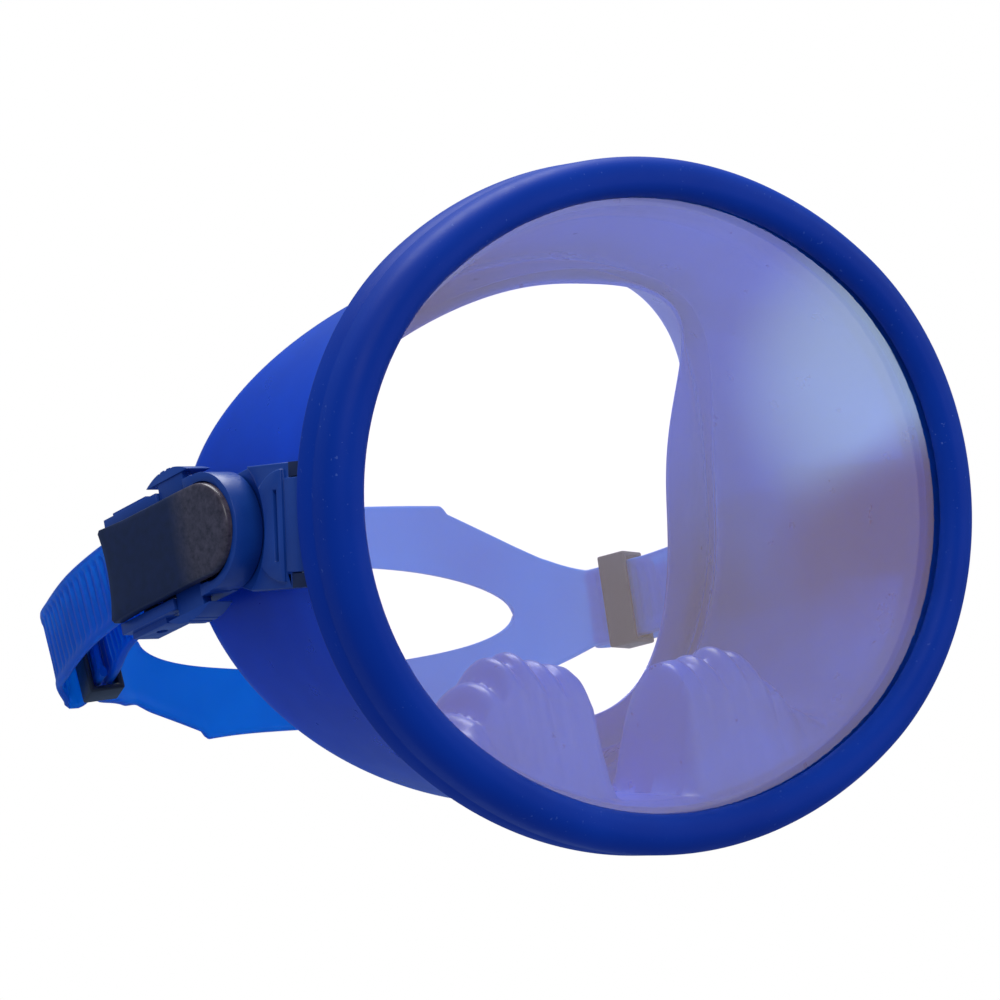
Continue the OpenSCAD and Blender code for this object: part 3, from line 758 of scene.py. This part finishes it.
def build_spring(name):
    """Coil of fixed length between the two buttons; the real spring shortens as they are pressed."""
    centre_x, centre_p, half, coil_r, wire_r, turns, per_turn = 81.5, 7, 8.7, 1.3, 0.25, 9, 20
    pivot = joint_point("strap_swing")
    tilt, sides, steps = tilt_of(name), 8, turns * per_turn
    back = Vector((0, math.cos(tilt), -math.sin(tilt)))
    up = Vector((0, math.sin(tilt), math.cos(tilt)))
    centre = Vector((SIDES[name] * centre_x, pivot[1], pivot[2])) + back * centre_p
    rings = []
    for i in range(steps + 1):
        a = 2 * math.pi * i / per_turn
        out = Vector((1, 0, 0)) * math.cos(a) + back * math.sin(a)
        middle = centre + up * mix(-half, half, i / steps)
        rings.append(np.array([
            middle + out * (coil_r + wire_r * math.cos(b)) + up * (wire_r * math.sin(b))
            for b in np.linspace(0, 2 * math.pi, sides, endpoint=False)]))
    verts, faces = loft(rings, False)
    add_caps(faces, sides, len(rings))
    spring = mesh_piece(name + "_spring_coil", verts, faces, STEEL, "strap", [name + "_button_spring"])
    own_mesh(spring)


def build_buckle(name):
    """Cover, spring, moulded pieces and small parts of one side's bracket and buckle."""
    build_cover(name)
    build_spring(name)
    moulded(name + "_bracket", BUCKLE, 0.4)
    moulded(name + "_buckle_body", BUCKLE, 0.45)
    moulded(name + "_upper_button", BUCKLE, 0.5)
    moulded(name + "_lower_button", BUCKLE, 0.5)
    moulded(name + "_keeper", KEEPER, 0.5, 3)
    for part, material in (("bracket_pin", STEEL), ("swivel_rivet", STEEL), ("pawl_pin", STEEL),
                           ("roller_axle", STEEL), ("roller", ROLLER), ("pawl", PAWL)):
        paint(f"{name}_{part}", material)


def paint(node, material):
    """Gives a carried-over CAD node its material."""
    mesh = frame["nodes"][node].data
    mesh.materials.clear()
    mesh.materials.append(material)


# ---- Stage, light and camera ----


WORLD_LIGHT = (0.17, 0.25, 0.42)
# Direction, full and faded radius in degrees, and colour of each thing that the pane reflects
REFLECTIONS = [
    ((0.629, -0.776, 0.045), 7, 10, (2.8, 2.3, 2.4)),
    ((0.645, -0.758, 0.090), 1.8, 4.2, (2.9, 3.0, 6.0)),
    ((0.661, -0.748, 0.061), 0.2, 1.9, (5.6, 7.0, 8.4)),
    ((0.657, -0.752, 0.030), 0.3, 1.2, (2.8, 2.0, 1.2)),
    ((0.668, -0.743, 0.035), 0.4, 1.3, (2.6, 1.7, 0.5)),
]


def cone(nodes, links, facing, toward, inner, outer):
    """1 within a cone about a direction, and 0 outside a wider one."""
    dot = nodes.new("ShaderNodeVectorMath")
    dot.operation = "DOT_PRODUCT"
    dot.inputs[1].default_value = Vector(toward).normalized()
    links.new(facing, dot.inputs[0])
    span = nodes.new("ShaderNodeMapRange")
    span.interpolation_type = "SMOOTHSTEP"
    span.inputs["From Min"].default_value = math.cos(math.radians(outer))
    span.inputs["From Max"].default_value = math.cos(math.radians(inner))
    links.new(dot.outputs["Value"], span.inputs["Value"])
    return span.outputs["Result"]


def world_mix(nodes, links, factor, a, b):
    """Mixes two of the world's colours, each a tuple or another node's output."""
    node = nodes.new("ShaderNodeMixRGB")
    links.new(factor, node.inputs[0])
    for socket, value in ((node.inputs[1], a), (node.inputs[2], b)):
        if isinstance(value, tuple):
            socket.default_value = (*value, 1)
        else:
            links.new(value, socket)
    return node.outputs[0]


def build_backdrop():
    """World without a floor: white as a backdrop, dim blue with the reflections as a light."""
    world = bpy.data.worlds.new("studio")
    bpy.context.scene.world = world
    world.use_nodes = True
    nodes, links = world.node_tree.nodes, world.node_tree.links
    facing = nodes.new("ShaderNodeTexCoord").outputs["Generated"]
    lit = WORLD_LIGHT
    for toward, inner, outer, colour in REFLECTIONS:
        inside = cone(nodes, links, facing, toward, inner, outer)
        lit = world_mix(nodes, links, inside, lit, colour)
    path = nodes.new("ShaderNodeLightPath")
    seen = nodes.new("ShaderNodeMath")
    seen.operation = "MAXIMUM"
    links.new(path.outputs["Is Camera Ray"], seen.inputs[0])
    links.new(path.outputs["Is Transmission Ray"], seen.inputs[1])
    colour = world_mix(nodes, links, seen.outputs[0], lit, (1, 1, 1))
    links.new(colour, nodes["Background"].inputs["Color"])


def softbox(name, place, size, energy, colour=(1, 1, 1)):
    """Square soft light at a place, aimed at the middle of the mask."""
    aim = Vector((0, 0.04, 0))
    light = bpy.data.lights.new(name, "AREA")
    light.shape = "SQUARE"
    light.size = size
    light.energy = energy
    light.color = colour
    lamp = bpy.data.objects.new(name, light)
    lamp.location = place
    lamp.rotation_euler = (aim - Vector(place)).to_track_quat("-Z", "Y").to_euler()
    bpy.context.scene.collection.objects.link(lamp)


def build_camera():
    """Camera to the mask's front left, slightly below its middle and turned a little."""
    azimuth, elevation, roll = (math.radians(v) for v in (-37.30, -2.42, -2.32))
    distance, shift_right, shift_up, lens_back = 1.0971, -0.03447, 0.00074, 0.0037
    back = Vector((math.sin(azimuth) * math.cos(elevation),
                   -math.cos(azimuth) * math.cos(elevation), math.sin(elevation)))
    right0 = Vector((math.cos(azimuth), math.sin(azimuth), 0))
    up0 = back.cross(right0)
    right = math.cos(roll) * right0 + math.sin(roll) * up0
    up = -math.sin(roll) * right0 + math.cos(roll) * up0
    data = bpy.data.cameras.new("camera")
    data.sensor_width = 36
    data.lens = 198.01
    data.clip_end = 20
    camera = bpy.data.objects.new("camera", data)
    turn = Matrix((right, up, back)).transposed().to_4x4()
    place = back * distance + right * shift_right + up * shift_up - Vector((0, lens_back, 0))
    camera.matrix_world = Matrix.Translation(place) @ turn
    bpy.context.scene.collection.objects.link(camera)
    bpy.context.scene.camera = camera


build_camera()
build_rim()
build_lens()
moulded("lens_frame", FRAME, 0.25)
build_skirt()
build_strap()
for side_name in SIDES:
    build_buckle(side_name)
build_backdrop()
softbox("key", (-0.6, -0.8, 0.8), 0.6, 4.4)
softbox("fill", (1.1, -0.4, 0.5), 0.5, 1.6, (0.85, 0.92, 1))
softbox("back", (0.2, 0.5, 1.2), 0.8, 14)
bpy.context.scene.view_settings.view_transform = "Standard"
